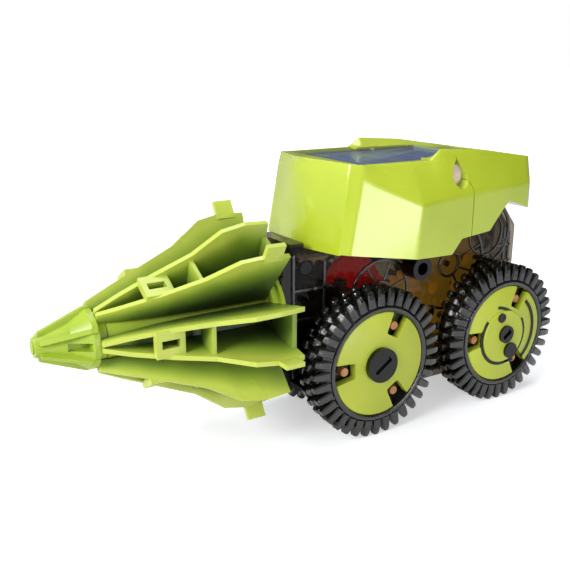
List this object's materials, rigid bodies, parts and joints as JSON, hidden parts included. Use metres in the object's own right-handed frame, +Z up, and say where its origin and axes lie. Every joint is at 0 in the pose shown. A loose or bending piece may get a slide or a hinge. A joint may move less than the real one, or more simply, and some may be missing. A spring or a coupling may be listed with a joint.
{
  "type": "solar robot kit",
  "caption": "Solar robot kit built as a wheeled drill vehicle: faceted lime shell with a solar panel, smoky geared chassis, studded wheels and a spinning petal drill.",
  "frame": {"origin": "on the ground, under the middle of the vehicle's box", "axes": "+X towards the drill's tip, +Y to the vehicle's left, +Z up"},
  "size_m": [0.1722, 0.0626, 0.0869],
  "materials": {
    "lime_shell": "glossy moulded plastic",
    "lime_cover": "satin moulded plastic",
    "lime_drill": "satin moulded plastic",
    "smoky_case": "clear smoky moulded plastic",
    "smoky_wheel": "glossy dark moulded plastic",
    "black_plastic": "moulded plastic",
    "grey_plastic": "moulded plastic",
    "white_plastic": "moulded plastic",
    "amber_gear": "moulded plastic",
    "yellow_gear": "moulded plastic",
    "red_gear": "moulded plastic",
    "steel": "drawn bar",
    "motor_steel": "plated pressed sheet",
    "copper_pin": "moulded plastic",
    "black_screw": "blackened steel",
    "terminal_brass": "tinned brass strip",
    "panel_frame": "moulded plastic",
    "solar_cell": "coated silicon",
    "panel_cover": "clear resin sheet",
    "eye_lens": "moulded plastic",
    "wire_red": "soft wire sleeve",
    "wire_black": "soft wire sleeve"
  },
  "bodies": {
    "chassis": {"gearbox_left": "smoky_case", "gearbox_right": "smoky_case", "front_plate": "black_plastic", "shaft_bearing": "grey_plastic", "drill_bush": "grey_plastic", "gear_pins": "steel", "case_screws": "black_screw", "socket_left": "black_plastic", "socket_right": "black_plastic", "body_tray": "black_plastic", "tray_screws": "black_screw", "shell_front": "lime_shell", "shell_rear": "lime_shell", "eye_left": "eye_lens", "eye_right": "eye_lens", "panel_frame": "panel_frame", "solar_cells": "solar_cell", "panel_cover": "panel_cover", "motor_can": "motor_steel", "motor_cap": "white_plastic", "motor_terminals": "terminal_brass", "wire_red": "wire_red", "wire_black": "wire_black"},
    "rear_wheels": {"rear_axle": "steel", "rear_axle_gear": "white_plastic", "rear_window_pins": "copper_pin", "crank_pins": "black_plastic", "rear_wheel_left": "smoky_wheel", "rear_cover_left": "lime_cover", "rear_cap_left": "black_plastic", "rear_wheel_right": "smoky_wheel", "rear_cover_right": "lime_cover", "rear_cap_right": "black_plastic"},
    "front_wheels": {"front_axle": "steel", "front_axle_gear": "white_plastic", "front_window_pins": "copper_pin", "front_wheel_left": "smoky_wheel", "front_cover_left": "lime_cover", "front_cap_left": "black_plastic", "front_wheel_right": "smoky_wheel", "front_cover_right": "lime_cover", "front_cap_right": "black_plastic"},
    "drive_gear_body": {"drive_gear": "yellow_gear"},
    "compound_gear_body": {"compound_gear": "amber_gear"},
    "motor_rotor": {"motor_shaft": "steel", "motor_pinion": "white_plastic"},
    "crown_gear_body": {"crown_gear": "red_gear"},
    "drill": {"drill_shaft": "steel", "drill_pinion": "white_plastic", "drill_hub": "lime_drill", "drill_nose": "lime_drill", "drill_petal_1": "lime_drill", "drill_petal_2": "lime_drill", "drill_petal_3": "lime_drill", "drill_petal_4": "lime_drill", "drill_petal_5": "lime_drill", "drill_petal_6": "lime_drill"}
  },
  "joints": [
    {"name": "rear_axle_spin", "type": "hinge", "parent": "chassis", "child": "rear_wheels", "pos_m": [-0.06265, 0, 0.0235], "axis": [0, 1, 0], "continuous": true},
    {"name": "front_axle_spin", "type": "hinge", "parent": "chassis", "child": "front_wheels", "pos_m": [-0.01045, 0, 0.0235], "axis": [0, 1, 0], "continuous": true},
    {"name": "drive_gear_spin", "type": "hinge", "parent": "chassis", "child": "drive_gear_body", "pos_m": [-0.03655, 0, 0.02809], "axis": [0, 1, 0], "continuous": true},
    {"name": "compound_gear_spin", "type": "hinge", "parent": "chassis", "child": "compound_gear_body", "pos_m": [-0.04664, 0, 0.04707], "axis": [0, 1, 0], "continuous": true},
    {"name": "motor_spin", "type": "hinge", "parent": "chassis", "child": "motor_rotor", "pos_m": [-0.06254, 0, 0.05552], "axis": [0, 1, 0], "continuous": true},
    {"name": "crown_gear_spin", "type": "hinge", "parent": "chassis", "child": "crown_gear_body", "pos_m": [-0.01834, 0, 0.0413], "axis": [0, 1, 0], "continuous": true},
    {"name": "drill_spin", "type": "hinge", "parent": "chassis", "child": "drill", "pos_m": [-0.01835, 0, 0.0413], "axis": [1, 0, 0], "continuous": true}
  ],
  "couplings": [
    {"joint": "front_axle_spin", "follows": "rear_axle_spin", "ratio": 1},
    {"joint": "drive_gear_spin", "follows": "rear_axle_spin", "ratio": -0.60606},
    {"joint": "compound_gear_spin", "follows": "rear_axle_spin", "ratio": 2},
    {"joint": "motor_spin", "follows": "rear_axle_spin", "ratio": -6},
    {"joint": "crown_gear_spin", "follows": "rear_axle_spin", "ratio": 1.6667},
    {"joint": "drill_spin", "follows": "rear_axle_spin", "ratio": 3.75}
  ]
}
